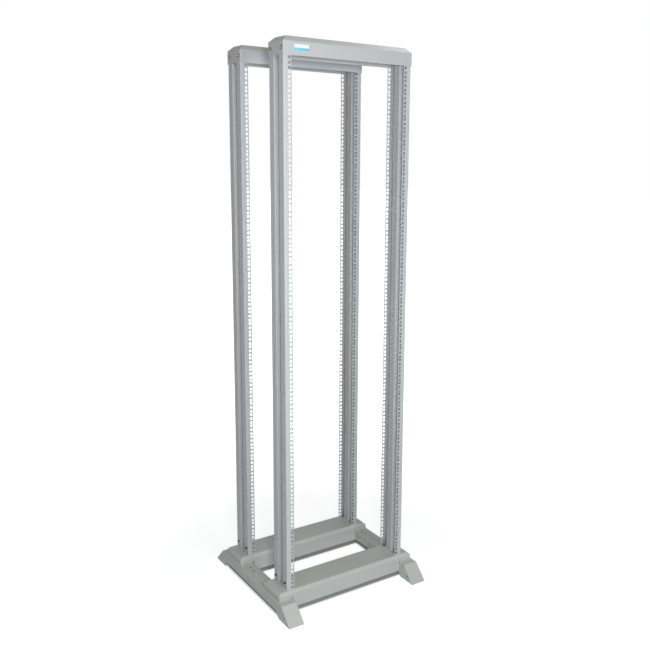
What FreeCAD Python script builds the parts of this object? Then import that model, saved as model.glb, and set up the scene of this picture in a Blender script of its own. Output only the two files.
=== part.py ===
import FreeCAD, Part
import os

# Four post open frame rack: two frames of sheet steel standing on two perforated side rails.
# Millimetres. X to the right, Y to the rear, Z up. The origin is on the floor under the middle.

# Equipment grid of a 19 inch rack
rack_unit = 44.45
unit_count = 42
unit_hole_heights = (6.35, 22.225, 38.1)
hole_column_pitch = 465.1
clear_opening = 450.0
square_hole = 9.5

# Posts
post_sheet = 2.0
post_depth = 100.0
post_flange = 30.0
rib_mouth = 30.0
rib_depth = 24.0
post_bend_radius = 1.2
strip_hole_d = 5.5
strip_hole_from_edge = 14.5
rib_hole_d = 5.0
cap_screw_hole_d = 9.0

# Frames, front and rear
frame_pitch_in_rail_holes = 10
first_unit_above_lid = 2.0
last_unit_below_cap = 0.5

# Top caps
cap_sheet = 1.5
cap_wall = 45.0
cap_chamfer = 17.0
cap_bend_radius = 1.5
cap_gap = 2.0
cap_screw_height = 24.0
post_below_cap_roof = 4.0

# Side rails
base_width = 600.0
rail_sheet = 2.5
rail_width = 60.0
rail_height = 36.0
rail_above_floor = 22.0
rail_bend_radius = 1.5
rail_beyond_beam = 28.0
rail_hole_pitch = 32.0
rail_side_hole_d = 6.5
rail_slot_length = 12.0
rail_slot_width = 6.0
rail_hole_to_seam = 18.0

# Base beams
beam_sheet = 2.0
beam_overhang = 13.0
beam_chamfer = 10.0
beam_bend_radius = 1.0
beam_lip = 18.0
beam_end_inset = 7.0
beam_rail_gap = 0.5
relief_hole_d = 6.0

# Feet
foot_sheet = 3.0
foot_reach = 59.0
foot_heel_back = 20.0
foot_tail_back = 40.0
foot_seam_back = 4.0
foot_bolt_ahead = 22.0
foot_bolt_height = 20.0
foot_bolt_hole_d = 9.0

# Angles that hold the posts down on the lids
angle_sheet = 2.5
angle_above_screw = 12.0
angle_side_gap = 2.0
angle_bolt_hole_d = 5.5
angle_bolt_from_clear_edge = 7.0

# Brackets that tie the base beams to the rails
bracket_sheet = 3.0
bracket_flange = 40.0
bracket_side_gap = 1.0

# Badge plate on the front cap
badge_width = 55.0
badge_height = 19.0
badge_sheet = 1.0
badge_from_clear_edge = 8.0
badge_above_cap_edge = 17.0
badge_corner_radius = 1.5

# Sizes that follow from the ones above
clear_half = clear_opening / 2
column_x = hole_column_pitch / 2
post_outer = clear_half + post_flange
half_post = post_depth / 2
strip_hole_y = half_post - strip_hole_from_edge
rib_face = post_outer - rib_depth
rail_bottom = rail_above_floor
rail_top = rail_bottom + rail_height
rail_outer = base_width / 2
rail_inner = rail_outer - rail_width
rail_middle_x = (rail_inner + rail_outer) / 2
rail_middle_z = (rail_bottom + rail_top) / 2
lid_top = rail_top + beam_lip + beam_chamfer
grid_bottom = lid_top + first_unit_above_lid
grid_top = grid_bottom + rack_unit * unit_count
cap_bottom = grid_top + last_unit_below_cap
cap_top = cap_bottom + cap_wall + cap_chamfer
post_top = cap_top - cap_sheet - cap_chamfer - post_below_cap_roof
cap_half_x = post_outer + cap_sheet
cap_half_y = half_post + cap_gap + cap_sheet
beam_half_x = rail_outer - beam_end_inset
angle_bolt_x = clear_half + angle_bolt_from_clear_edge
beam_half_y = half_post + beam_overhang
frame_y = frame_pitch_in_rail_holes * rail_hole_pitch / 2
rail_end = frame_y + beam_half_y + rail_beyond_beam
UP = FreeCAD.Vector(0, 0, 1)
ALONG_X = FreeCAD.Vector(1, 0, 0)
ALONG_Y = FreeCAD.Vector(0, 1, 0)
CENTRE = FreeCAD.Vector(0, 0, 0)
TOUCH = 1e-3


def block(x0, x1, y0, y1, z0, z1):
    """A box between two corners."""
    return Part.makeBox(x1 - x0, y1 - y0, z1 - z0, FreeCAD.Vector(x0, y0, z0))


def rod_along_x(diameter, x0, x1, y, z):
    """A round tool along X, for cutting a hole."""
    return Part.makeCylinder(diameter / 2, x1 - x0, FreeCAD.Vector(x0, y, z), ALONG_X)


def rod_along_y(diameter, y0, y1, x, z):
    """A round tool along Y, for cutting a hole."""
    return Part.makeCylinder(diameter / 2, y1 - y0, FreeCAD.Vector(x, y0, z), ALONG_Y)


def prism(points, along):
    """A flat closed outline pushed along a vector."""
    wire = Part.makePolygon([FreeCAD.Vector(*p) for p in points + points[:1]])
    return Part.Face(wire).extrude(along)


def slot_up(length, width, x, y, z0, z1):
    """An upright tool with round ends, long along Y."""
    straight = (length - width) / 2
    middle = block(x - width / 2, x + width / 2, y - straight, y + straight, z0, z1)
    ends = [
        Part.makeCylinder(width / 2, z1 - z0, FreeCAD.Vector(x, y + side * straight, z0), UP)
        for side in (-1, 1)
    ]
    return middle.multiFuse(ends)


def cut_all(body, tools):
    """The body with every tool taken out of it."""
    return body.cut(Part.makeCompound(tools))


def edges_through(body, direction, points):
    """The straight edges of a body that run in a direction through one of the points."""
    found = []
    for edge in body.Edges:
        start = edge.Vertexes[0].Point
        run = edge.Vertexes[-1].Point - start
        if run.Length < TOUCH or run.cross(direction).Length > TOUCH:
            continue
        if any(start.distanceToLine(FreeCAD.Vector(*p), direction) < TOUCH for p in points):
            found.append(edge)
    return found


def round_bends(body, direction, sheet, radius, outside, inside):
    """Round the bent corners of a folded sheet, outside and inside."""
    body = body.makeFillet(radius + sheet, edges_through(body, direction, outside))
    return body.makeFillet(radius, edges_through(body, direction, inside))


def chamfered_shell(half_x, half_y, bottom, top, chamfer, sheet, bend):
    """A downward open tray of sheet, its four top edges chamfered and its bends rounded."""
    skins = []
    chamfer_inside = chamfer - sheet * (2 - 2 ** 0.5)
    layers = ((0, top, chamfer, bend + sheet), (sheet, top - sheet, chamfer_inside, bend))
    for inset, roof, bevel, radius in layers:
        skin = block(inset - half_x, half_x - inset, inset - half_y, half_y - inset, bottom, roof)
        rim = [e for e in skin.Edges if min(v.Z for v in e.Vertexes) > roof - TOUCH]
        skin = skin.makeChamfer(bevel, rim)
        bends = [e for e in skin.Edges if max(v.Z for v in e.Vertexes) > bottom + TOUCH]
        skins.append(skin.makeFillet(radius, bends))
    return skins[0].cut(skins[1])


def post():
    """The right-hand post of a frame centred on Y = 0, open toward the rack's middle."""
    o = post_outer
    i = clear_half
    t = post_sheet
    m = rib_mouth / 2
    h = half_post
    floor = rib_face + t
    outline = [
        (i, -h), (o, -h), (o, -m), (floor, -m), (floor, m), (o, m), (o, h), (i, h),
        (i, h - t), (o - t, h - t), (o - t, m + t), (rib_face, m + t),
        (rib_face, -m - t), (o - t, -m - t), (o - t, t - h), (i, t - h),
    ]
    body = prism([(x, y, lid_top) for x, y in outline], UP * (post_top - lid_top))
    outside = []
    inside = []
    for side in (-1, 1):
        outside += [(o, side * h, 0), (o, side * m, 0), (rib_face, side * (m + t), 0)]
        inside += [(o - t, side * (h - t), 0), (o - t, side * (m + t), 0), (floor, side * m, 0)]
    body = round_bends(body, UP, t, post_bend_radius, outside, inside)
    tools = []
    s = square_hole / 2
    for unit in range(unit_count):
        for height in unit_hole_heights:
            z = grid_bottom + unit * rack_unit + height
            for y0, y1 in ((-h - t, 2 * t - h), (h - 2 * t, h + t)):
                tools.append(block(column_x - s, column_x + s, y0, y1, z - s, z + s))
            tools.append(rod_along_x(rib_hole_d, rib_face - t, floor + t, 0, z))
        z = grid_bottom + unit * rack_unit + unit_hole_heights[1]
        for side in (-1, 1):
            tools.append(rod_along_x(strip_hole_d, o - 2 * t, o + t, side * strip_hole_y, z))
    for side in (-1, 1):
        z = cap_bottom + cap_screw_height
        tools.append(rod_along_x(cap_screw_hole_d, o - 2 * t, o + t, side * strip_hole_y, z))
    return cut_all(body, tools)


def top_cap():
    """The cap over the two posts of a frame centred on Y = 0."""
    body = chamfered_shell(
        cap_half_x, cap_half_y, cap_bottom, cap_top, cap_chamfer, cap_sheet, cap_bend_radius
    )
    tools = []
    for end in (-1, 1):
        x0, x1 = sorted((end * (post_outer - cap_sheet), end * (cap_half_x + cap_sheet)))
        for side in (-1, 1):
            z = cap_bottom + cap_screw_height
            tools.append(rod_along_x(cap_screw_hole_d, x0, x1, side * strip_hole_y, z))
    return cut_all(body, tools)


def base_beam():
    """The lidded beam under a frame centred on Y = 0, its walls full height between the rails."""
    body = chamfered_shell(
        beam_half_x, beam_half_y, rail_bottom, lid_top, beam_chamfer, beam_sheet, beam_bend_radius
    )
    wall_half = rail_inner - beam_rail_gap
    far = 2 * rail_outer
    tools = []
    for end in (-1, 1):
        x0, x1 = sorted((end * wall_half, end * far))
        tools.append(block(x0, x1, -far, far, 0, rail_top))
        tools.append(rod_along_y(relief_hole_d, -far, far, end * wall_half, rail_top))
        for side in (-1, 1):
            centre = FreeCAD.Vector(end * angle_bolt_x, side * strip_hole_y, rail_top)
            tools.append(Part.makeCylinder(angle_bolt_hole_d / 2, lid_top, centre, UP))
    return cut_all(body, tools)


def rail_row(offset):
    """Where one row of a side rail's holes lies along Y, its middle moved by an offset."""
    reach = rail_end - foot_tail_back - rail_hole_to_seam
    steps = int(reach / rail_hole_pitch) + 1
    places = [k * rail_hole_pitch + offset for k in range(-steps, steps + 1)]
    return [y for y in places if abs(y) <= reach]


def side_rail():
    """The right-hand rail: a perforated channel, open below, its ends cut on a slant."""
    t = rail_sheet
    outline = [
        (rail_inner, rail_bottom), (rail_inner, rail_top), (rail_outer, rail_top),
        (rail_outer, rail_bottom), (rail_outer - t, rail_bottom), (rail_outer - t, rail_top - t),
        (rail_inner + t, rail_top - t), (rail_inner + t, rail_bottom),
    ]
    body = prism([(x, -rail_end, z) for x, z in outline], ALONG_Y * (2 * rail_end))
    outside = [(rail_inner, 0, rail_top), (rail_outer, 0, rail_top)]
    inside = [(rail_inner + t, 0, rail_top - t), (rail_outer - t, 0, rail_top - t)]
    body = round_bends(body, ALONG_Y, t, rail_bend_radius, outside, inside)
    tools = []
    x0, x1, z = rail_outer - 2 * t, rail_outer + t, rail_middle_z
    for y in rail_row(rail_hole_pitch / 2):
        tools.append(rod_along_x(rail_side_hole_d, x0, x1, y, z))
    x0, x1 = rail_inner - t, rail_inner + 2 * t
    z0, z1 = rail_top - 2 * t, rail_top + t
    for y in rail_row(0.0):
        tools.append(rod_along_x(rail_side_hole_d, x0, x1, y, z))
        tools.append(slot_up(rail_slot_length, rail_slot_width, rail_middle_x, y, z0, z1))
    for end in (-1, 1):
        seam = [
            (end * (rail_end - foot_seam_back), rail_top),
            (end * (rail_end - foot_tail_back), rail_bottom),
            (end * 2 * rail_end, rail_bottom),
            (end * 2 * rail_end, rail_top),
        ]
        tools.append(prism([(rail_inner, y, z) for y, z in seam], ALONG_X * rail_width))
    return cut_all(body, tools)


def foot():
    """The front foot of the right-hand rail: a folded wedge whose tail closes the rail's end."""
    t = foot_sheet
    top_y = -rail_end
    outline = [
        (top_y + foot_seam_back, rail_top),
        (top_y, rail_top),
        (top_y - foot_reach, 0.0),
        (top_y + foot_heel_back, 0.0),
        (top_y + foot_tail_back, rail_bottom),
    ]
    walls = (t, t, t, t, 0.0)
    hollow = inset_outline(outline, walls)
    body = prism([(rail_inner, y, z) for y, z in outline], ALONG_X * rail_width)
    core = prism([(rail_inner + t, y, z) for y, z in hollow], ALONG_X * (rail_width - 2 * t))
    bolt = rod_along_x(
        foot_bolt_hole_d, 0, 2 * rail_outer, top_y - foot_bolt_ahead, foot_bolt_height
    )
    return cut_all(body, [core, bolt])


def inset_outline(points, distances):
    """Move each side of a counter-clockwise outline inward by its own distance."""
    lines = []
    count = len(points)
    for k in range(count):
        (y0, z0), (y1, z1) = points[k], points[(k + 1) % count]
        length = ((y1 - y0) ** 2 + (z1 - z0) ** 2) ** 0.5
        normal = ((z0 - z1) / length, (y1 - y0) / length)
        lines.append((normal, normal[0] * y0 + normal[1] * z0 + distances[k]))
    corners = []
    for k in range(count):
        (a, b), c = lines[k - 1]
        (d, e), f = lines[k]
        det = a * e - b * d
        corners.append(((c * e - b * f) / det, (a * f - c * d) / det))
    return corners


def post_angle():
    """The angle in the front pocket of a right-hand post, down on the lid."""
    t = angle_sheet
    web = post_outer - post_sheet
    y0 = -half_post + post_sheet + angle_side_gap
    y1 = -rib_mouth / 2 - post_sheet - angle_side_gap
    up_z = grid_bottom + unit_hole_heights[1]
    head = up_z + angle_above_screw
    outline = [
        (web, lid_top), (web, head), (web - t, head),
        (web - t, lid_top + t), (clear_half + t, lid_top + t), (clear_half + t, lid_top),
    ]
    body = prism([(x, y0, z) for x, z in outline], ALONG_Y * (y1 - y0))
    up = rod_along_x(strip_hole_d, web - 2 * t, post_outer, -strip_hole_y, up_z)
    centre = FreeCAD.Vector(angle_bolt_x, -strip_hole_y, lid_top - t / 2)
    down = Part.makeCylinder(angle_bolt_hole_d / 2, 2 * t, centre, UP)
    return cut_all(body, [up, down])


def rail_bracket():
    """The bracket inside a beam centred on Y = 0, flat against the right-hand rail."""
    t = bracket_sheet
    roof = lid_top - beam_sheet
    half = beam_half_y - beam_chamfer - bracket_side_gap
    outline = [
        (rail_inner, rail_bottom), (rail_inner, roof), (rail_inner - bracket_flange, roof),
        (rail_inner - bracket_flange, roof - t), (rail_inner - t, roof - t),
        (rail_inner - t, rail_bottom),
    ]
    body = prism([(x, -half, z) for x, z in outline], ALONG_Y * (2 * half))
    x0, x1 = rail_inner - 2 * t, rail_inner + t
    tools = []
    for side in (-1, 1):
        y = side * rail_hole_pitch
        tools.append(rod_along_x(rail_side_hole_d, x0, x1, y, rail_middle_z))
        centre = FreeCAD.Vector(angle_bolt_x, side * strip_hole_y, roof - 2 * t)
        tools.append(Part.makeCylinder(angle_bolt_hole_d / 2, 4 * t, centre, UP))
    return cut_all(body, tools)


def badge_plate():
    """A bare plate on the left of the front cap's face."""
    x0 = -clear_half + badge_from_clear_edge
    z0 = cap_bottom + badge_above_cap_edge
    face_y = -frame_y - cap_half_y
    plate = block(x0, x0 + badge_width, face_y - badge_sheet, face_y, z0, z0 + badge_height)
    x1, z1 = x0 + badge_width, z0 + badge_height
    corners = edges_through(plate, ALONG_Y, [(x, 0, z) for x in (x0, x1) for z in (z0, z1)])
    return plate.makeFillet(badge_corner_radius, corners)


def placed(shape, y, left=False, turned=False):
    """A copy moved along Y, mirrored to the left side or end for end."""
    result = shape.copy()
    if turned:
        result = result.mirror(CENTRE, ALONG_Y)
    if left:
        result = result.mirror(CENTRE, ALONG_X)
    result.translate(ALONG_Y * y)
    return result


def save(name, shape):
    """Write one piece."""
    shape.exportStep("parts/" + name + ".step")


os.makedirs("parts", exist_ok=True)
one_post = post()
one_cap = top_cap()
one_beam = base_beam()
one_angle = post_angle()
one_bracket = rail_bracket()
for place, y in (("front", -frame_y), ("rear", frame_y)):
    save("top_cap_" + place, placed(one_cap, y))
    save("base_beam_" + place, placed(one_beam, y))
    for hand, left in (("left", True), ("right", False)):
        name = place + "_" + hand
        save("post_" + name, placed(one_post, y, left))
        save("rail_bracket_" + name, placed(one_bracket, y, left))
        save("post_angle_" + name + "_outer", placed(one_angle, y, left, place == "rear"))
        save("post_angle_" + name + "_inner", placed(one_angle, y, left, place == "front"))
one_rail = side_rail()
one_foot = foot()
for hand, left in (("left", True), ("right", False)):
    save("side_rail_" + hand, placed(one_rail, 0, left))
    save("foot_front_" + hand, placed(one_foot, 0, left))
    save("foot_rear_" + hand, placed(one_foot, 0, left, True))
save("badge_plate", badge_plate())
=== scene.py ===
import math

import bmesh
import bpy
from bpy.props import (
    FloatProperty,
    FloatVectorProperty,
    IntProperty,
    PointerProperty,
)
from mathutils import Euler, Matrix, Vector


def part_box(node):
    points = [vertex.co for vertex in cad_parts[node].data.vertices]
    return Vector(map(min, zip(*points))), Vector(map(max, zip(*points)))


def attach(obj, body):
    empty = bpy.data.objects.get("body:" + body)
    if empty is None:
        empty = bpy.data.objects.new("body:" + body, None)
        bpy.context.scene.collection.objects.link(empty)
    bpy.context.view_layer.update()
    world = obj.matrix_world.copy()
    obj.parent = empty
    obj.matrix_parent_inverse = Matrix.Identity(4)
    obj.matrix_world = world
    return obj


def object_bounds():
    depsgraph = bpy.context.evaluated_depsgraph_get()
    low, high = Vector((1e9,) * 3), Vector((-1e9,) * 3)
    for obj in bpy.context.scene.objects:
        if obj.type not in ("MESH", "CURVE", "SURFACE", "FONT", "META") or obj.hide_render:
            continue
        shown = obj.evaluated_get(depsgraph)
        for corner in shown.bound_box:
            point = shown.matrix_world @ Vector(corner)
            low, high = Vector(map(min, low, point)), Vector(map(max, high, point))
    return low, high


bl_info = {
    "name": "Four Post Open Frame Rack",
    "version": (1, 0, 0),
    "blender": (4, 5, 0),
    "location": "3D View > Sidebar > Rack",
    "description": "Powder coat, screws, bolts, badge and stage for a four post open frame rack",
    "category": "Object",
}

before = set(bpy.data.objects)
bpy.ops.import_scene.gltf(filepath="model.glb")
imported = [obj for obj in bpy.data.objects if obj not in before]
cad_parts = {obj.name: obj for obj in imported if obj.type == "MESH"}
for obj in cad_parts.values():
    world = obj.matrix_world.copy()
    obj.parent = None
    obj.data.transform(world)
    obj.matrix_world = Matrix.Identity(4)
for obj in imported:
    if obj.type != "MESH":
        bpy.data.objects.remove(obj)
cad_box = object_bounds()

ENDS = (("front", -1), ("rear", 1))
HANDS = (("left", -1), ("right", 1))
POSTS = [f"post_{end}_{hand}" for end, _ in ENDS for hand, _ in HANDS]
CAPS = [f"top_cap_{end}" for end, _ in ENDS]
BEAMS = [f"base_beam_{end}" for end, _ in ENDS]
RAILS = [f"side_rail_{hand}" for hand, _ in HANDS]
FEET = [f"foot_{end}_{hand}" for end, _ in ENDS for hand, _ in HANDS]
ANGLES = [
    f"post_angle_{end}_{hand}_{side}"
    for end, _ in ENDS
    for hand, _ in HANDS
    for side in ("inner", "outer")
]
BRACKETS = [f"rail_bracket_{end}_{hand}" for end, _ in ENDS for hand, _ in HANDS]

WHITE = (1.0, 1.0, 1.0, 1.0)

# Fasteners, as shares of the thread's width.
WASHER_HOLE = 1.08
WASHER_WIDTH = 1.84
WASHER_SHEET = 0.17
POST_SCREW_WASHER_WIDTH = 1.9
BRACKET_WASHER_WIDTH = 2.0
THREAD_TURNS = 6
THREAD_PAST_GRIP = 1.35
# Across the flats, height, and depth of the turned-off corners.
NUT = (1.6, 0.8, 0.1)
POST_BOLT_HEAD = (1.6, 0.7, 0.1)
BRACKET_BOLT_HEAD = (1.66, 0.67, 0.1)
# Radius and height of a pan head.
CAP_SCREW_HEAD = (0.88, 0.6)
POST_SCREW_HEAD = (0.88, 0.5)

# A pan head from its flat top to its seat, as shares of its radius and height.
DOME = ((0.62, 1.0), (0.86, 0.88), (0.97, 0.6), (1.0, 0.2), (0.99, 0.0))
# A cross recess: its arms' length and half width as shares of the head's radius,
# its depth as a share of the head's height, and how far it narrows to its floor.
RECESS_ARM, RECESS_HALF_WIDTH, RECESS_DEPTH, RECESS_FLOOR = 0.5, 0.16, 0.6, 0.6
# The round top of a hexagon as a share of its width across the flats.
CROWN_WIDTH = 0.97
# The broken edge of a washer as a share of its sheet.
WASHER_EDGE = 0.25
# The root and the tip of a thread as shares of its radius.
THREAD_ROOT, THREAD_TIP = 0.86, 0.8
# Where a thread starts over a head's seat, in metres.
THREAD_START = 0.0002
# How the first fastener is turned, and each one after it, in radians.
FIRST_TURN, NEXT_TURN = 0.3, 1.1
# Edges sharper than this stay sharp.
SHARP_ANGLE = math.radians(35.0)


# Finishes


class Value:
    """A socket in a node tree, so that its maths is written as Python."""

    def __init__(self, nodes, socket):
        self.nodes = nodes
        self.socket = socket

    def maths(self, operation, first, second=0.0, clamp=False):
        settings = {"operation": operation, "use_clamp": clamp}
        return self.nodes.node("ShaderNodeMath", settings, {0: first, 1: second})

    def __add__(self, other):
        return self.maths("ADD", self, other)

    __radd__ = __add__

    def __sub__(self, other):
        return self.maths("SUBTRACT", self, other)

    def __rsub__(self, other):
        return self.maths("SUBTRACT", other, self)

    def __mul__(self, other):
        return self.maths("MULTIPLY", self, other)

    def __truediv__(self, other):
        return self.maths("DIVIDE", self, other)

    def __abs__(self):
        return self.maths("ABSOLUTE", self)

    def held(self):
        """The value kept between 0 and 1."""
        return self.maths("ADD", self, 0.0, clamp=True)


class Nodes:
    """The node tree of a material or of the world."""

    def __init__(self, owner):
        owner.use_nodes = True
        self.tree = owner.node_tree
        self.tree.nodes.clear()

    def node(self, kind, settings=None, inputs=None, output=0):
        """Add a node, set it up, fill its sockets and give one of its outputs."""
        node = self.tree.nodes.new(kind)
        for name, value in (settings or {}).items():
            setattr(node, name, value)
        for name, value in (inputs or {}).items():
            if isinstance(value, Value):
                self.tree.links.new(value.socket, node.inputs[name])
            else:
                node.inputs[name].default_value = value
        return Value(self, node.outputs[output])

    def close(self, kind, shader):
        """End the tree with its output node."""
        end = self.tree.nodes.new(kind)
        self.tree.links.new(shader.socket, end.inputs["Surface"])

    def ray(self, kind):
        """1 for the rays of one kind, such as Camera, and 0 for the others."""
        return self.node("ShaderNodeLightPath", output=f"Is {kind} Ray")


class Finish(Nodes):
    """One finish on one material."""

    def __init__(self, name):
        self.material = bpy.data.materials.new(name)
        super().__init__(self.material)

    def place(self):
        """Where a point of the piece lies, in metres."""
        return self.node("ShaderNodeTexCoord", output="Object")

    def stretched(self, place, scale):
        """A place with its directions scaled."""
        return self.node("ShaderNodeMapping", None, {"Vector": place, "Scale": scale})

    def noise(self, place, scale, detail, roughness):
        """Soft random patches."""
        inputs = {"Vector": place, "Scale": scale, "Detail": detail, "Roughness": roughness}
        return self.node("ShaderNodeTexNoise", None, inputs)

    def blend(self, mask, below, above):
        """One colour over another."""
        settings = {"data_type": "RGBA", "clamp_factor": True}
        return self.node("ShaderNodeMix", settings, {0: mask, 6: below, 7: above}, output=2)

    def layer(self, below, above, mask, share):
        """A colour laid over another, at most by a share."""
        return self.blend(mask * share, below, above)

    def uneven(self, noise, by):
        """Noise as a small change up or down."""
        return (noise - 0.5) * by

    def rounded(self, radius):
        """The facing of a surface whose edges are rounded."""
        return self.node("ShaderNodeBevel", {"samples": 4}, {"Radius": radius})

    def bumped(self, height, facing, strength):
        """A facing with a fine relief, its height in metres."""
        inputs = {"Strength": strength, "Distance": 1.0, "Height": height, "Normal": facing}
        return self.node("ShaderNodeBump", None, inputs)

    def along(self, vector, axis):
        """One part of a vector."""
        return self.node("ShaderNodeSeparateXYZ", None, {0: vector}, output="XYZ".index(axis))

    def between(self, value, low, high):
        """0 below low, 1 above high, and smooth between."""
        inputs = {"Value": value, "From Min": low, "From Max": high}
        return self.node("ShaderNodeMapRange", {"interpolation_type": "SMOOTHSTEP"}, inputs)

    def surface(self, **inputs):
        """Close the finish with its shader."""
        named = {name.replace("_", " "): value for name, value in inputs.items()}
        self.close("ShaderNodeOutputMaterial", self.node("ShaderNodeBsdfPrincipled", None, named))
        return self.material


def solid(colour):
    """A colour with its alpha."""
    return (*colour, 1.0)


def toned(colour, by):
    """A colour made lighter or darker."""
    return tuple(min(1.0, c * by) for c in colour) + (1.0,)


def powder_coat(name, colour, paint):
    """Satin powder coat over folded sheet.

    Fine peel and soft clouds; faces that look up dusty and tinted by a painted greenish
    light from above; worn a little at the bends under a painted highlight; and painted
    shade, nearly black, deep in closed sections.
    """
    f = Finish(name)
    place = f.place()
    facing = f.node("ShaderNodeNewGeometry", output="Normal")
    rounded = f.rounded(paint.edge_radius)
    lengthwise = f.stretched(place, (9.0, 9.0, 1.4))
    clouds = f.noise(place, scale=2.6, detail=3.0, roughness=0.55)
    grain = f.noise(place, scale=1.0 / paint.speckle_size, detail=2.0, roughness=0.6)
    drawn = f.noise(lengthwise, scale=3.0, detail=4.0, roughness=0.6)
    peel = f.noise(place, scale=1.0 / paint.peel_size, detail=1.0, roughness=0.4)
    ripple = f.noise(place, scale=7.0, detail=1.0, roughness=0.4)
    rubbed = f.noise(place, scale=60.0, detail=3.0, roughness=0.6)
    drifts = f.noise(place, scale=14.0, detail=5.0, roughness=0.65)

    alike = {"operation": "DOT_PRODUCT"}
    agreement = f.node("ShaderNodeVectorMath", alike, {0: rounded, 1: facing}, "Value")
    # The bends and punched rims, read from the rounded facing; they carry both the wear and a
    # painted highlight.
    bend = f.between(1.0 - agreement, low=0.01, high=0.22)
    worn = bend * f.between(rubbed, low=0.5, high=0.72)
    # Painted shade: faces closed in by walls near them, found by ambient occlusion, are painted
    # nearly black.
    reach = {"Distance": paint.painted_shade_reach}
    open_air = f.node("ShaderNodeAmbientOcclusion", {"samples": 4}, reach, "AO")
    inside = 1.0 - f.between(open_air, low=0.0, high=0.12)
    # Dust and painted light: every face that looks up takes an even greenish tint that paints light
    # from above, with patchy drifts of dust over it in the same colour.
    up = f.between(f.along(facing, "Z"), low=0.35, high=0.95)
    settled = up * f.between(drifts, low=0.25, high=0.8)
    painted_top_light, drift = 0.45, 0.55
    dust_and_top_light = (up * painted_top_light + settled * drift) * paint.dust_and_top_light

    pale, deep = toned(colour, by=1.03), toned(colour, by=0.965)
    body = f.blend(f.between(clouds, low=0.3, high=0.7), deep, pale)
    speckled = f.between(grain, low=0.35, high=0.65)
    streaked = f.between(drawn, low=0.52, high=0.75)
    body = f.layer(body, toned(colour, by=0.93), speckled, share=0.35)
    body = f.layer(body, toned(colour, by=0.95), streaked, share=0.15)
    # Painted highlight: the paint is lighter along bends and rims, as if they caught the light.
    body = f.layer(body, toned(colour, by=1.08), bend, share=0.15)
    body = f.layer(body, toned(colour, by=0.72), worn, share=0.35)
    # The dust and the painted greenish top light over the paint.
    body = f.blend(dust_and_top_light, body, solid(paint.dust_and_top_light_colour))
    # Painted shade deep in closed sections.
    body = f.layer(body, toned(colour, by=paint.painted_shade_tone), inside, share=0.95)

    dulled = 0.25
    rough = paint.roughness + f.uneven(clouds, by=0.12) + f.uneven(drawn, by=0.05)
    rough = rough + dust_and_top_light * dulled
    skin = peel * paint.peel_height + ripple * paint.ripple_height
    normal = f.bumped(skin, rounded, strength=0.5)
    return f.surface(Base_Color=body, Roughness=rough.held(), Normal=normal)


def plated_steel(name, colour):
    """Zinc on a small fastener, its colour and polish uneven."""
    f = Finish(name)
    place = f.place()
    patches = f.noise(place, scale=240.0, detail=3.0, roughness=0.6)
    fine = f.noise(place, scale=1500.0, detail=2.0, roughness=0.5)
    dull, bright = toned(colour, by=0.8), toned(colour, by=1.12)
    body = f.blend(f.between(patches, low=0.3, high=0.7), dull, bright)
    polish, pitting = 0.3, 0.00003
    rough = polish + f.uneven(patches, by=0.22) + f.uneven(fine, by=0.08)
    normal = f.bumped(fine * pitting, f.rounded(radius=0.0003), strength=0.4)
    return f.surface(Base_Color=body, Metallic=1.0, Roughness=rough.held(), Normal=normal)


def badge_print(name, badge, low, high):
    """A bare plate: pale ground with one plain band of colour along its foot."""
    f = Finish(name)
    place = f.place()
    share_up = (f.along(place, "Z") - low.z) / (high.z - low.z)
    share_across = (f.along(place, "X") - low.x) / (high.x - low.x)
    band = 1.0 - f.between(share_up, low=0.36, high=0.42)
    patches = f.noise(place, scale=90.0, detail=2.0, roughness=0.5)
    smears = f.noise(place, scale=60.0, detail=3.0, roughness=0.6)
    ground = solid(badge.ground)
    ground = f.layer(ground, toned(badge.ground, by=0.95), patches, share=0.5)
    pale, deep = toned(badge.band, by=1.35), solid(badge.band)
    stripe = f.blend(f.between(share_across, low=0.1, high=1.0), pale, deep)
    body = f.blend(band, ground, stripe)
    polish, dulled = 0.22, 0.12
    rough = polish + smears * dulled
    rounded = f.rounded(radius=0.0006)
    return f.surface(Base_Color=body, Roughness=rough, Normal=rounded, Coat_Weight=0.4)


def coat(nodes, material):
    """Put a finish on every slot of some CAD nodes."""
    for name in nodes:
        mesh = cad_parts[name].data
        if not mesh.materials:
            mesh.materials.append(material)
        for slot in range(len(mesh.materials)):
            mesh.materials[slot] = material


# Shapes


def boundary(bm):
    """The open edges of a shape."""
    return [edge for edge in bm.edges if edge.is_boundary]


def drawn_out(bm, ring, steps):
    """Draw a ring of edges outward and down through (radius, height) steps, and close it."""
    radius, height = ring
    for next_radius, next_height in steps:
        grown = bmesh.ops.extrude_edge_only(bm, edges=boundary(bm))["geom"]
        verts = [part for part in grown if isinstance(part, bmesh.types.BMVert)]
        by = next_radius / radius
        bmesh.ops.scale(bm, vec=(by, by, 1.0), verts=verts)
        bmesh.ops.translate(bm, vec=(0.0, 0.0, next_height - height), verts=verts)
        radius, height = next_radius, next_height
    bmesh.ops.holes_fill(bm, edges=boundary(bm), sides=0)


def closed(bm):
    """Merge what touches and turn every face outward."""
    bmesh.ops.remove_doubles(bm, verts=bm.verts, dist=1e-7)
    bmesh.ops.recalc_face_normals(bm, faces=bm.faces)
    return bm


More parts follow.
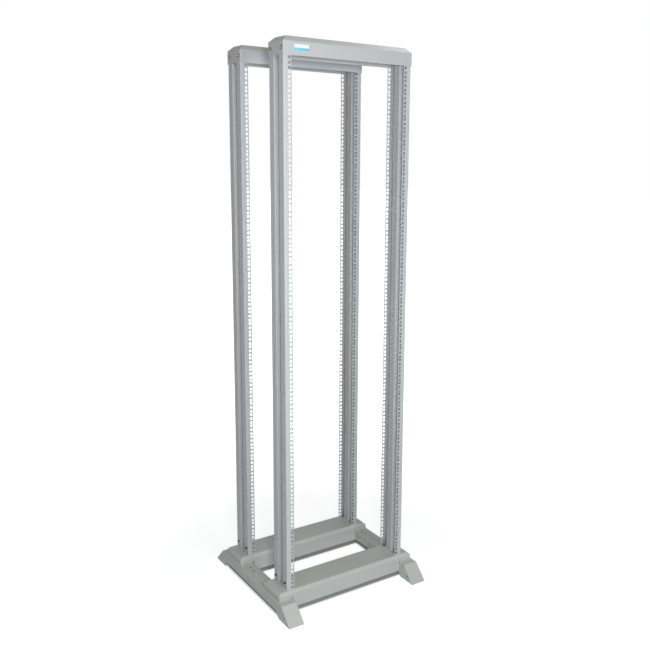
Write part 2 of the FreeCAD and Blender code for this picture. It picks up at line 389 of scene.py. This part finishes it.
def pan_head(thread, shape):
    """A low domed screw head with a cross recess, seated at Z = 0."""
    radius, height = (thread * share for share in shape)
    bm = bmesh.new()
    cells = 3
    bmesh.ops.create_grid(bm, x_segments=cells, y_segments=cells, size=1.0)
    corners = [f for f in bm.faces if all(abs(c) > 0.5 for c in f.calc_center_median()[:2])]
    bmesh.ops.delete(bm, geom=corners, context="FACES")
    for axis in (0, 1):
        ends = [vert for vert in bm.verts if abs(vert.co[axis]) > 0.5]
        sides = [vert for vert in bm.verts if abs(vert.co[axis]) < 0.5]
        for verts, size in ((ends, RECESS_ARM), (sides, RECESS_HALF_WIDTH * cells)):
            by = [1.0, 1.0, 1.0]
            by[axis] = radius * size
            bmesh.ops.scale(bm, vec=by, verts=verts)
    floor = bmesh.ops.extrude_face_region(bm, geom=bm.faces[:])["geom"]
    sunk = [part for part in floor if isinstance(part, bmesh.types.BMVert)]
    bmesh.ops.translate(bm, vec=(0.0, 0.0, -height * RECESS_DEPTH), verts=sunk)
    bmesh.ops.scale(bm, vec=(RECESS_FLOOR, RECESS_FLOOR, 1.0), verts=sunk)
    level = 1e-9
    roof = [f for f in bm.faces if all(abs(v.co.z) < level for v in f.verts)]
    bmesh.ops.delete(bm, geom=roof, context="FACES_ONLY")
    bmesh.ops.subdivide_edges(bm, edges=boundary(bm), cuts=1)
    rim = boundary(bm)
    dome = [(radius * across, height * up) for across, up in DOME]
    top = dome[0]
    disc = bmesh.ops.create_circle(bm, cap_ends=False, segments=len(rim), radius=top[0])
    outer = list({e for v in disc["verts"] for e in v.link_edges})
    bmesh.ops.bridge_loops(bm, edges=rim + outer)
    bmesh.ops.translate(bm, vec=(0.0, 0.0, height), verts=bm.verts)
    drawn_out(bm, top, dome[1:])
    return closed(bm)


def hexagon(thread, shape):
    """A bolt head or nut, its corners turned off at the top, seated at Z = 0."""
    flats, height, crown = (thread * share for share in shape)
    bm = bmesh.new()
    sides, cuts = 6, 3
    corner = flats / math.sqrt(3.0)
    bmesh.ops.create_circle(bm, cap_ends=False, segments=sides, radius=corner)
    bmesh.ops.subdivide_edges(bm, edges=bm.edges[:], cuts=cuts)
    outer = bm.edges[:]
    disc = bmesh.ops.create_circle(
        bm, cap_ends=False, segments=sides * (cuts + 1), radius=flats / 2 * CROWN_WIDTH
    )
    bmesh.ops.translate(bm, vec=(0.0, 0.0, crown), verts=disc["verts"])
    top = list({e for v in disc["verts"] for e in v.link_edges})
    bmesh.ops.bridge_loops(bm, edges=outer + top)
    bmesh.ops.holes_fill(bm, edges=top, sides=0)
    foot = bmesh.ops.extrude_edge_only(bm, edges=boundary(bm))["geom"]
    low = [part for part in foot if isinstance(part, bmesh.types.BMVert)]
    bmesh.ops.translate(bm, vec=(0.0, 0.0, crown - height), verts=low)
    bmesh.ops.holes_fill(bm, edges=boundary(bm), sides=0)
    bmesh.ops.translate(bm, vec=(0.0, 0.0, height - crown), verts=bm.verts)
    return closed(bm)


def turned(outline, segments):
    """A ring or rod spun about Z from an outline of (radius, height) points."""
    bm = bmesh.new()
    verts = [bm.verts.new((radius, 0.0, height)) for radius, height in outline]
    edges = [bm.edges.new(pair) for pair in zip(verts, verts[1:])]
    bmesh.ops.spin(
        bm,
        geom=verts + edges,
        cent=(0.0, 0.0, 0.0),
        axis=(0.0, 0.0, 1.0),
        angle=2 * math.pi,
        steps=segments,
        use_merge=True,
    )
    return closed(bm)


def washer(inner, outer, thick, segments=32):
    """A flat washer with its edges just broken, seated at Z = 0."""
    edge = thick * WASHER_EDGE
    outline = [
        (inner, 0.0),
        (outer - edge, 0.0),
        (outer, edge),
        (outer, thick - edge),
        (outer - edge, thick),
        (inner, thick),
        (inner, 0.0),
    ]
    return turned(outline, segments)


def shank(radius, start, end, pitch, segments=16):
    """A threaded shank that runs down between two heights, its tip chamfered."""
    outline = [(0.0, start), (radius, start)]
    height = start
    while height - end > 2 * pitch:
        outline.append((radius * THREAD_ROOT, height - pitch / 2))
        height -= pitch
        outline.append((radius, height))
    outline += [(radius * THREAD_TIP, end), (0.0, end)]
    return turned(outline, segments)


def put(target, part, where):
    """Add a shape to another at a place, and let it go."""
    mesh = bpy.data.meshes.new("loose")
    part.transform(where)
    part.to_mesh(mesh)
    target.from_mesh(mesh)
    bpy.data.meshes.remove(mesh)
    part.free()


def finished(name, bm, material):
    """Make a piece of a shape, give it its finish and let it ride on the rack."""
    mesh = bpy.data.meshes.new(name)
    bm.to_mesh(mesh)
    bm.free()
    mesh.materials.append(material)
    piece = bpy.data.objects.new(name, mesh)
    bpy.context.scene.collection.objects.link(piece)
    mesh.shade_smooth()
    mesh.set_sharp_from_angle(angle=SHARP_ANGLE)
    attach(piece, "root")


def seat(point, outward, turn):
    """The frame of a fastener seated at a point, its head outward."""
    aim = Vector(outward).to_track_quat("Z", "Y").to_matrix().to_4x4()
    return Matrix.Translation(point) @ aim @ Matrix.Rotation(turn, 4, "Z")


def strip_lines(end, inset):
    """Where the two rows of round holes in a frame's posts lie along Y."""
    low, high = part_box(f"post_{end}_left")
    return low.y + inset, high.y - inset


def side(box, out):
    """Where a side of a box lies along X: its right side for 1, its left side for -1."""
    low, high = box
    return high.x if out > 0 else low.x


class Fasteners:
    """Screws with their washers and nuts, gathered into one shape of each kind."""

    def __init__(self):
        self.heads, self.washers, self.nuts = bmesh.new(), bmesh.new(), bmesh.new()
        self.turn = FIRST_TURN

    def fit(self, point, outward, thread, grip, head, across):
        """One screw through a stack of sheet, its head at the point and its nut behind."""
        self.turn += NEXT_TURN
        thick = thread * WASHER_SHEET
        hole = thread * WASHER_HOLE / 2
        lift = Matrix.Translation((0.0, 0.0, thick))
        here = seat(point, outward, self.turn)
        put(self.washers, washer(hole, across / 2, thick), here)
        put(self.heads, head, here @ lift)
        tip = -(grip + thread * THREAD_PAST_GRIP)
        pitch = thread / THREAD_TURNS
        put(self.heads, shank(thread / 2, THREAD_START, tip, pitch), here @ lift)
        back = Vector(point) - Vector(outward) * grip
        behind = seat(back, -Vector(outward), self.turn)
        put(self.nuts, washer(hole, thread * WASHER_WIDTH / 2, thick), behind)
        put(self.nuts, hexagon(thread, NUT), behind @ lift)


# Settings


class RackPaint(bpy.types.PropertyGroup):
    """The powder coat."""

    post_colour: FloatVectorProperty(
        name="Posts", description="Paint of the four posts", subtype="COLOR",
        default=(0.55, 0.562, 0.568), min=0.0, max=1.0,
    )
    # Painted shade: the caps' and the base's paint are darker copies of the posts' paint, for the
    # weaker light on them, and the base's is a little greener as a painted tint of the greenish
    # light from above.
    cap_colour: FloatVectorProperty(
        name="Caps", description="Paint of the two top caps", subtype="COLOR",
        default=(0.52, 0.534, 0.546), min=0.0, max=1.0,
    )
    base_colour: FloatVectorProperty(
        name="Base", description="Paint of the beams, rails and feet", subtype="COLOR",
        default=(0.52, 0.537, 0.53), min=0.0, max=1.0,
    )
    # One greenish colour for both the dust and the painted light from above on faces that look up.
    dust_and_top_light_colour: FloatVectorProperty(
        name="Dust", description="Dust on the faces that look up", subtype="COLOR",
        default=(0.56, 0.62, 0.47), min=0.0, max=1.0,
    )
    # How near its walls a closed-in face takes the painted shade.
    painted_shade_reach: FloatProperty(
        name="Shelter", description="How near its walls a closed-in face gets only a thin coat",
        unit="LENGTH", default=0.06, min=0.001, max=0.5,
    )
    # How light the painted shade in closed sections is, as a share of the paint.
    painted_shade_tone: FloatProperty(
        name="Inside", description="How light the thin coat inside closed sections is",
        default=0.06, min=0.0, max=1.0,
    )
    # How much of the paint the dust and the painted top light hide.
    dust_and_top_light: FloatProperty(
        name="Dust cover", description="How much of the paint the dust hides", subtype="FACTOR",
        default=0.5, min=0.0, max=1.0,
    )
    roughness: FloatProperty(
        name="Roughness", description="Roughness of the satin coat", subtype="FACTOR",
        default=0.42, min=0.0, max=1.0,
    )
    peel_size: FloatProperty(
        name="Peel", description="Size of the coat's fine peel", unit="LENGTH",
        default=0.0012, min=0.0003, max=0.01,
    )
    speckle_size: FloatProperty(
        name="Speckle", description="Size of the coat's speckle", unit="LENGTH",
        default=0.003, min=0.0005, max=0.02,
    )
    peel_height: FloatProperty(
        name="Peel height", description="Height of the coat's fine peel", unit="LENGTH",
        default=0.00006, min=0.0, max=0.001,
    )
    ripple_height: FloatProperty(
        name="Ripple height", description="Height of the sheet's soft ripples", unit="LENGTH",
        default=0.0012, min=0.0, max=0.01,
    )
    edge_radius: FloatProperty(
        name="Edge", description="Roundness of the folded and punched edges", unit="LENGTH",
        default=0.0014, min=0.0, max=0.005,
    )


class RackFasteners(bpy.types.PropertyGroup):
    """Screws, bolts, washers and nuts."""

    # Yellow zinc darkened as painted shade, for the dark room the polished heads reflect.
    cap_screw_colour: FloatVectorProperty(
        name="Cap screws", description="Yellow zinc of the cap screws", subtype="COLOR",
        default=(0.34, 0.26, 0.11), min=0.0, max=1.0,
    )
    # Black zinc that is also painted shade: the dark ring round the cap screws and the dull post
    # screws.
    black_zinc_and_shade_colour: FloatVectorProperty(
        name="Washers", description="Black zinc of the cap washers and the post screws",
        subtype="COLOR", default=(0.03, 0.03, 0.033), min=0.0, max=1.0,
    )
    bolt_colour: FloatVectorProperty(
        name="Bolts", description="Clear zinc of the bolts, their washers and all the nuts",
        subtype="COLOR", default=(0.3, 0.31, 0.31), min=0.0, max=1.0,
    )
    cap_screw_size: FloatProperty(
        name="Cap screw", description="Thread of the cap screws", unit="LENGTH",
        default=0.006, min=0.003, max=0.01,
    )
    cap_screw_height: FloatProperty(
        name="Cap screw height", description="Height of the screws over the cap's lower edge",
        unit="LENGTH", default=0.024, min=0.01, max=0.04,
    )
    cap_washer: FloatProperty(
        name="Cap washer", description="Outside of the cap washers", unit="LENGTH",
        default=0.0125, min=0.008, max=0.02,
    )
    cap_grip: FloatProperty(
        name="Cap grip", description="Cap and post sheet together", unit="LENGTH",
        default=0.0035, min=0.001, max=0.01,
    )
    post_sheet: FloatProperty(
        name="Post sheet", description="Sheet of the posts", unit="LENGTH",
        default=0.002, min=0.001, max=0.01,
    )
    strip_inset: FloatProperty(
        name="Strip holes", description="From a post's edge to its row of round holes",
        unit="LENGTH", default=0.0145, min=0.005, max=0.03,
    )
    post_bolt_size: FloatProperty(
        name="Post bolt", description="Thread of the bolts and screws in the post angles",
        unit="LENGTH", default=0.005, min=0.003, max=0.01,
    )
    post_bolt_inset: FloatProperty(
        name="Post bolt inset", description="From an angle's free edge to its bolt",
        unit="LENGTH", default=0.0045, min=0.002, max=0.02,
    )
    angle_sheet: FloatProperty(
        name="Angle sheet", description="Sheet of the post angles", unit="LENGTH",
        default=0.0025, min=0.001, max=0.01,
    )
    post_bolt_grip: FloatProperty(
        name="Post bolt grip", description="Angle, lid and bracket sheet together",
        unit="LENGTH", default=0.0075, min=0.001, max=0.02,
    )
    post_screw_grip: FloatProperty(
        name="Post screw grip", description="Post and angle sheet together", unit="LENGTH",
        default=0.0045, min=0.001, max=0.02,
    )
    post_screw_height: FloatProperty(
        name="Post screw height", description="Height of the lowest round hole over the lid",
        unit="LENGTH", default=0.024225, min=0.01, max=0.05,
    )
    bracket_bolt_size: FloatProperty(
        name="Bracket bolt", description="Thread of the bolts between bracket and rail",
        unit="LENGTH", default=0.006, min=0.003, max=0.01,
    )
    bracket_bolt_spread: FloatProperty(
        name="Bracket bolt spread", description="From a frame's middle to its bracket bolts",
        unit="LENGTH", default=0.032, min=0.01, max=0.06,
    )
    bracket_sheet: FloatProperty(
        name="Bracket sheet", description="Sheet of the brackets", unit="LENGTH",
        default=0.003, min=0.001, max=0.01,
    )
    bracket_grip: FloatProperty(
        name="Bracket grip", description="Bracket and rail sheet together", unit="LENGTH",
        default=0.0055, min=0.001, max=0.02,
    )


class RackBadge(bpy.types.PropertyGroup):
    """The bare plate on the front cap."""

    ground: FloatVectorProperty(
        name="Ground", description="Ground of the plate", subtype="COLOR",
        default=(0.86, 0.9, 0.93), min=0.0, max=1.0,
    )
    band: FloatVectorProperty(
        name="Band", description="Plain band along the plate's foot", subtype="COLOR",
        default=(0.12, 0.5, 0.62), min=0.0, max=1.0,
    )


class RackStage(bpy.types.PropertyGroup):
    """Camera, lamps, room light and floor."""

    camera_place: FloatVectorProperty(
        name="Camera", description="Where the camera stands", subtype="TRANSLATION",
        default=(-1.536, -2.616, 1.645),
    )
    camera_turn: FloatProperty(
        name="Turn", description="How far the camera looks to the right", subtype="ANGLE",
        default=0.62058,
    )
    camera_tilt: FloatProperty(
        name="Tilt", description="How far the camera looks up", subtype="ANGLE",
        default=-0.18544,
    )
    camera_roll: FloatProperty(
        name="Roll", description="How far the camera leans", subtype="ANGLE", default=0.01715,
    )
    lens: FloatProperty(
        name="Lens", description="Focal length in millimetres",
        default=44.98, min=10.0, max=300.0,
    )
    shift: FloatVectorProperty(
        name="Shift", description="Lens shift across and up",
        size=2, default=(-0.1006, -0.0273),
    )
    key_power: FloatProperty(
        name="Key lamp", description="Power of the lamp beside the camera", unit="POWER",
        default=51.0, min=0.0,
    )
    front_power: FloatProperty(
        name="Front lamp", description="Power of the lamp straight in front", unit="POWER",
        default=28.0, min=0.0,
    )
    side_power: FloatProperty(
        name="Side lamp", description="Power of the lamp on the left", unit="POWER",
        default=4.0, min=0.0,
    )
    side_colour: FloatVectorProperty(
        name="Side lamp colour", description="Colour of the lamp on the left", subtype="COLOR",
        default=(0.72, 0.87, 1.0), min=0.0, max=1.0,
    )
    top_power: FloatProperty(
        name="Top lamp", description="Power of the lamp over the right-hand end of the caps",
        unit="POWER", default=2.4, min=0.0,
    )
    key_place: FloatVectorProperty(
        name="Key lamp place", description="Where the lamp beside the camera hangs",
        subtype="TRANSLATION", default=(-1.4, -2.7, 1.7),
    )
    front_place: FloatVectorProperty(
        name="Front lamp place", description="Where the lamp straight in front hangs",
        subtype="TRANSLATION", default=(-0.15, -3.0, 1.6),
    )
    side_place: FloatVectorProperty(
        name="Side lamp place", description="Where the lamp on the left hangs",
        subtype="TRANSLATION", default=(-1.35, -0.75, 1.75),
    )
    top_place: FloatVectorProperty(
        name="Top lamp place", description="Where the lamp over the caps hangs",
        subtype="TRANSLATION", default=(0.72, -0.11, 2.65),
    )
    top_aim: FloatProperty(
        name="Top lamp aim", description="How far along the caps' right half the top lamp looks",
        subtype="FACTOR", default=0.8, min=0.0, max=1.0,
    )
    key_size: FloatProperty(
        name="Key lamp size", description="Side of the lamp beside the camera", unit="LENGTH",
        default=0.5, min=0.01,
    )
    front_size: FloatProperty(
        name="Front lamp size", description="Side of the lamp straight in front", unit="LENGTH",
        default=0.7, min=0.01,
    )
    side_size: FloatProperty(
        name="Side lamp size", description="Side of the lamp on the left", unit="LENGTH",
        default=0.5, min=0.01,
    )
    top_size: FloatProperty(
        name="Top lamp size", description="Side of the lamp over the caps", unit="LENGTH",
        default=0.25, min=0.01,
    )
    room_light: FloatProperty(
        name="Room light", description="Even light from all round", default=0.08, min=0.0, max=2.0,
    )
    room_colour: FloatVectorProperty(
        name="Room colour", description="Colour of the room light", subtype="COLOR",
        default=(0.9, 0.95, 1.0), min=0.0, max=1.0,
    )
    floor_colour: FloatVectorProperty(
        name="Floor colour", description="Colour that the floor throws back", subtype="COLOR",
        default=(0.5, 0.53, 0.48), min=0.0, max=1.0,
    )
    floor_seen: FloatVectorProperty(
        name="Floor seen", description="Colour of the floor where its shadows are seen",
        subtype="COLOR", default=(0.95, 0.95, 0.95), min=0.0, max=1.0,
    )
    floor_share: FloatProperty(
        name="Glow share", description="Share of the glow in the floor seen under the rack",
        subtype="FACTOR", default=0.6, min=0.0, max=1.0,
    )
    floor_fade: FloatVectorProperty(
        name="Floor fade", description="How far out the floor starts and ends turning to glow",
        unit="LENGTH", size=2, default=(0.5, 1.9), min=0.0,
    )
    shade_edge: FloatProperty(
        name="Shade edge", description="Soft edge of the shade right under rails and beams",
        unit="LENGTH", default=0.015, min=0.001, max=0.1,
    )
    shade_end: FloatProperty(
        name="Shade end", description="Soft end of the shade past the ends of the rails",
        unit="LENGTH", default=0.045, min=0.001, max=0.3,
    )
    floor_glow: FloatProperty(
        name="Floor glow", description="How bright the camera sees the floor", default=1.4, min=1.0,
    )
    floor_size: FloatProperty(
        name="Floor", description="Side of the floor", unit="LENGTH", default=60.0, min=4.0,
    )
    floor_segments: IntProperty(
        name="Floor divisions", description="Divisions along each side of the floor",
        default=4, min=1, max=64,
    )


# Pieces


class RACK_OT_paint_frames(bpy.types.Operator):
    """Powder coat the posts, the caps and the angles in the posts"""

    bl_idname = "rack.paint_frames"
    bl_label = "Paint Frames"

    def execute(self, context):
        paint = context.scene.rack_paint
        coat(POSTS, powder_coat("post powder coat", paint.post_colour, paint))
        coat(CAPS, powder_coat("cap powder coat", paint.cap_colour, paint))
        coat(ANGLES, powder_coat("angle powder coat", paint.post_colour, paint))
        return {"FINISHED"}


class RACK_OT_paint_base(bpy.types.Operator):
    """Powder coat the beams, rails, brackets and feet"""

    bl_idname = "rack.paint_base"
    bl_label = "Paint Base"

    def execute(self, context):
        paint = context.scene.rack_paint
        coat(BEAMS, powder_coat("beam powder coat", paint.base_colour, paint))
        coat(RAILS, powder_coat("rail powder coat", paint.base_colour, paint))
        coat(FEET, powder_coat("foot powder coat", paint.base_colour, paint))
        coat(BRACKETS, powder_coat("bracket powder coat", paint.base_colour, paint))
        return {"FINISHED"}


class RACK_OT_finish_badge(bpy.types.Operator):
    """Finish the bare plate on the front cap"""

    bl_idname = "rack.finish_badge"
    bl_label = "Finish Badge"

    def execute(self, context):
        low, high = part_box("badge_plate")
        coat(["badge_plate"], badge_print("badge plate", context.scene.rack_badge, low, high))
        return {"FINISHED"}


class RACK_OT_fit_cap_screws(bpy.types.Operator):
    """Fit the screws, washers and nuts that hold the caps on the posts"""

    bl_idname = "rack.fit_cap_screws"
    bl_label = "Fit Cap Screws"

    def execute(self, context):
        sizes = context.scene.rack_fasteners
        m = sizes.cap_screw_size
        lot = Fasteners()
        for end, _ in ENDS:
            low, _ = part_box(f"top_cap_{end}")
            z = low.z + sizes.cap_screw_height
            for hand, out in HANDS:
                face = side(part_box(f"post_{end}_{hand}"), out)
                x = face + out * (sizes.cap_grip - sizes.post_sheet)
                for y in strip_lines(end, sizes.strip_inset):
                    head = pan_head(m, CAP_SCREW_HEAD)
                    lot.fit((x, y, z), (out, 0, 0), m, sizes.cap_grip, head, sizes.cap_washer)
        # The cap screws' zinc is darkened: painted shade for the dark room they reflect.
        finished("cap_screws", lot.heads, plated_steel("yellow zinc", sizes.cap_screw_colour))
        # The black washers are black zinc and also paint the shade round the cap screws.
        finished("cap_washers", lot.washers, plated_steel("black zinc", sizes.black_zinc_and_shade_colour))
        finished("cap_nuts", lot.nuts, plated_steel("cap nut zinc", sizes.bolt_colour))
        return {"FINISHED"}


class RACK_OT_fit_post_bolts(bpy.types.Operator):
    """Fit the bolts and screws in the angles at the posts' feet"""

    bl_idname = "rack.fit_post_bolts"
    bl_label = "Fit Post Bolts"

    def execute(self, context):
        sizes = context.scene.rack_fasteners
        m = sizes.post_bolt_size
        bolts, screws = Fasteners(), Fasteners()
        for end, _ in ENDS:
            for hand, out in HANDS:
                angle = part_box(f"post_angle_{end}_{hand}_inner")
                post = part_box(f"post_{end}_{hand}")
                foot = angle[0].z
                bolt_x = side(angle, -out) + out * sizes.post_bolt_inset
                bolt_z = foot + sizes.angle_sheet
                screw_x = side(post, out)
                screw_z = foot + sizes.post_screw_height
                for y in strip_lines(end, sizes.strip_inset):
                    head = hexagon(m, POST_BOLT_HEAD)
                    across, grip = m * WASHER_WIDTH, sizes.post_bolt_grip
                    bolts.fit((bolt_x, y, bolt_z), (0, 0, 1), m, grip, head, across)
                    head = pan_head(m, POST_SCREW_HEAD)
                    across, grip = m * POST_SCREW_WASHER_WIDTH, sizes.post_screw_grip
                    screws.fit((screw_x, y, screw_z), (out, 0, 0), m, grip, head, across)
        clear = plated_steel("clear zinc", sizes.bolt_colour)
        finished("post_bolts", bolts.heads, clear)
        finished("post_bolt_washers", bolts.washers, clear)
        finished("post_bolt_nuts", bolts.nuts, clear)
        # The post screws take the same black, which also paints out their glints as shade.
        black = plated_steel("post screw zinc", sizes.black_zinc_and_shade_colour)
        finished("post_screws", screws.heads, black)
        finished("post_screw_washers", screws.washers, black)
        finished("post_screw_nuts", screws.nuts, clear)
        return {"FINISHED"}


class RACK_OT_fit_bracket_bolts(bpy.types.Operator):
    """Fit the bolts that tie the brackets to the side rails"""

    bl_idname = "rack.fit_bracket_bolts"
    bl_label = "Fit Bracket Bolts"

    def execute(self, context):
        sizes = context.scene.rack_fasteners
        m = sizes.bracket_bolt_size
        lot = Fasteners()
        for end, _ in ENDS:
            for hand, out in HANDS:
                low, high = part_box(f"rail_bracket_{end}_{hand}")
                rail_low, rail_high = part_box(f"side_rail_{hand}")
                x = side((low, high), out) - out * sizes.bracket_sheet
                z = (rail_low.z + rail_high.z) / 2
                for end_side in (-1, 1):
                    y = (low.y + high.y) / 2 + end_side * sizes.bracket_bolt_spread
                    head = hexagon(m, BRACKET_BOLT_HEAD)
                    across, grip = m * BRACKET_WASHER_WIDTH, sizes.bracket_grip
                    lot.fit((x, y, z), (-out, 0, 0), m, grip, head, across)
        clear = plated_steel("bracket bolt zinc", sizes.bolt_colour)
        finished("bracket_bolts", lot.heads, clear)
        finished("bracket_bolt_washers", lot.washers, clear)
        finished("bracket_bolt_nuts", lot.nuts, clear)
        return {"FINISHED"}


class RACK_OT_set_stage(bpy.types.Operator):
    """Set the camera, the lamps, the room light and the floor"""

    bl_idname = "rack.set_stage"
    bl_label = "Set Stage"

    def execute(self, context):
        stage = context.scene.rack_stage
        scene = context.scene
        scene.view_settings.view_transform = "Standard"
        self.set_camera(scene, stage)
        low, high = cad_box
        middle = (Vector(low) + Vector(high)) / 2
        cap_end = Vector((high[0] * stage.top_aim, 0.0, high[2]))
        self.set_lamp(scene, stage, "key", middle)
        self.set_lamp(scene, stage, "front", middle)
        side_lamp = self.set_lamp(scene, stage, "side", middle)
        side_lamp.color = stage.side_colour
        self.set_lamp(scene, stage, "top", cap_end)
        self.set_room(scene, stage)
        self.set_floor(scene, stage)
        return {"FINISHED"}

    def set_camera(self, scene, stage):
        """The camera, with everything in focus."""
        camera = bpy.data.objects.new("camera", bpy.data.cameras.new("camera"))
        scene.collection.objects.link(camera)
        camera.data.lens = stage.lens
        camera.data.sensor_width = 36.0
        camera.data.shift_x, camera.data.shift_y = stage.shift
        camera.location = stage.camera_place
        turn = Euler((0.0, 0.0, -stage.camera_turn)).to_matrix()
        tilt = Euler((math.pi / 2 + stage.camera_tilt, 0.0, 0.0)).to_matrix()
        roll = Euler((0.0, 0.0, stage.camera_roll)).to_matrix()
        camera.rotation_euler = (turn @ tilt @ roll).to_euler()
        scene.camera = camera

    def set_lamp(self, scene, stage, kind, aim):
        """One of the soft square lamps, looking at a point."""
        name = f"{kind} lamp"
        lamp = bpy.data.lights.new(name, "AREA")
        lamp.size = getattr(stage, f"{kind}_size")
        lamp.energy = getattr(stage, f"{kind}_power")
        holder = bpy.data.objects.new(name, lamp)
        scene.collection.objects.link(holder)
        place = getattr(stage, f"{kind}_place")
        holder.location = place
        holder.rotation_euler = (aim - place).to_track_quat("-Z", "Y").to_euler()
        return lamp

    def set_room(self, scene, stage):
        """Even pale light, white where the camera or a reflection sees it."""
        scene.world = bpy.data.worlds.new("room")
        room = Nodes(scene.world)
        seen = (room.ray("Camera") + room.ray("Glossy") + room.ray("Transmission")).held()
        pale = {"Color": solid(stage.room_colour), "Strength": stage.room_light}
        light = room.node("ShaderNodeBackground", None, pale)
        white = room.node("ShaderNodeBackground", None, {"Color": WHITE, "Strength": 1.0})
        mixed = room.node("ShaderNodeMixShader", None, {0: seen, 1: light, 2: white})
        room.close("ShaderNodeOutputWorld", mixed)

    def open_floor(self, f, stage):
        """1 on the open floor, 0 in the shade right under the rails and the beams."""
        place = f.place()
        across, deep = abs(f.along(place, "X")), abs(f.along(place, "Y"))
        rail_low, rail_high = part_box("side_rail_right")
        beam_low, beam_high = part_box("base_beam_rear")
        soft, end = stage.shade_edge, stage.shade_end
        rails = f.between(across, rail_low.x, rail_low.x + soft)
        rails = rails * (1.0 - f.between(across, rail_high.x - soft, rail_high.x))
        rails = rails * (1.0 - f.between(deep, rail_high.y, rail_high.y + end))
        beams = f.between(deep, beam_low.y, beam_low.y + soft)
        beams = beams * (1.0 - f.between(deep, beam_high.y - soft, beam_high.y))
        beams = beams * (1.0 - f.between(across, rail_low.x, rail_high.x))
        return (1.0 - rails) * (1.0 - beams)

    def set_floor(self, scene, stage):
        """A plain pale floor that keeps the rack's shadow."""
        bm = bmesh.new()
        n = stage.floor_segments
        bmesh.ops.create_grid(bm, x_segments=n, y_segments=n, size=stage.floor_size / 2)
        mesh = bpy.data.meshes.new("floor")
        bm.to_mesh(mesh)
        bm.free()
        f = Finish("pale floor")
        camera = f.ray("Camera")
        open_floor = self.open_floor(f, stage)
        # Painted shade: right under the rails and the beams the camera sees the floor's darker
        # colour without glow, over the real shadow there; elsewhere it sees the pale floor.
        tone = f.blend(camera * open_floor, solid(stage.floor_colour), solid(stage.floor_seen))
        matt = f.node("ShaderNodeBsdfDiffuse", None, {"Color": tone})
        glow = f.node("ShaderNodeEmission", None, {"Strength": stage.floor_glow})
        away = f.node("ShaderNodeVectorMath", {"operation": "LENGTH"}, {0: f.place()}, "Value")
        near, far = stage.floor_fade
        share = stage.floor_share
        shown = camera * (share + f.between(away, near, far) * (1.0 - share)) * open_floor
        shown = shown + (f.ray("Glossy") + f.ray("Transmission")) * (1.0 / stage.floor_glow)
        white = f.node("ShaderNodeMixShader", None, {0: shown, 1: matt, 2: glow})
        f.close("ShaderNodeOutputMaterial", white)
        mesh.materials.append(f.material)
        floor = bpy.data.objects.new("floor", mesh)
        scene.collection.objects.link(floor)


class RACK_PT_panel(bpy.types.Panel):
    """The rack's pieces and settings"""

    bl_idname = "RACK_PT_panel"
    bl_label = "Four Post Rack"
    bl_space_type = "VIEW_3D"
    bl_region_type = "UI"
    bl_category = "Rack"

    def draw(self, context):
        for operator in OPERATORS:
            self.layout.operator(operator.bl_idname)
        for group in ("rack_paint", "rack_fasteners", "rack_badge", "rack_stage"):
            settings = getattr(context.scene, group)
            column = self.layout.column(heading=group.replace("_", " "))
            for name in settings.__annotations__:
                column.prop(settings, name)


GROUPS = {
    "rack_paint": RackPaint,
    "rack_fasteners": RackFasteners,
    "rack_badge": RackBadge,
    "rack_stage": RackStage,
}
OPERATORS = (
    RACK_OT_paint_frames,
    RACK_OT_paint_base,
    RACK_OT_finish_badge,
    RACK_OT_fit_cap_screws,
    RACK_OT_fit_post_bolts,
    RACK_OT_fit_bracket_bolts,
    RACK_OT_set_stage,
)


def register():
    for cls in (*GROUPS.values(), *OPERATORS, RACK_PT_panel):
        bpy.utils.register_class(cls)
    for name, group in GROUPS.items():
        setattr(bpy.types.Scene, name, PointerProperty(type=group))


def unregister():
    for name in GROUPS:
        delattr(bpy.types.Scene, name)
    for cls in reversed((*GROUPS.values(), *OPERATORS, RACK_PT_panel)):
        bpy.utils.unregister_class(cls)


def main():
    register()
    bpy.ops.rack.paint_frames()
    bpy.ops.rack.paint_base()
    bpy.ops.rack.finish_badge()
    bpy.ops.rack.fit_cap_screws()
    bpy.ops.rack.fit_post_bolts()
    bpy.ops.rack.fit_bracket_bolts()
    bpy.ops.rack.set_stage()


if __name__ == "__main__":
    main()
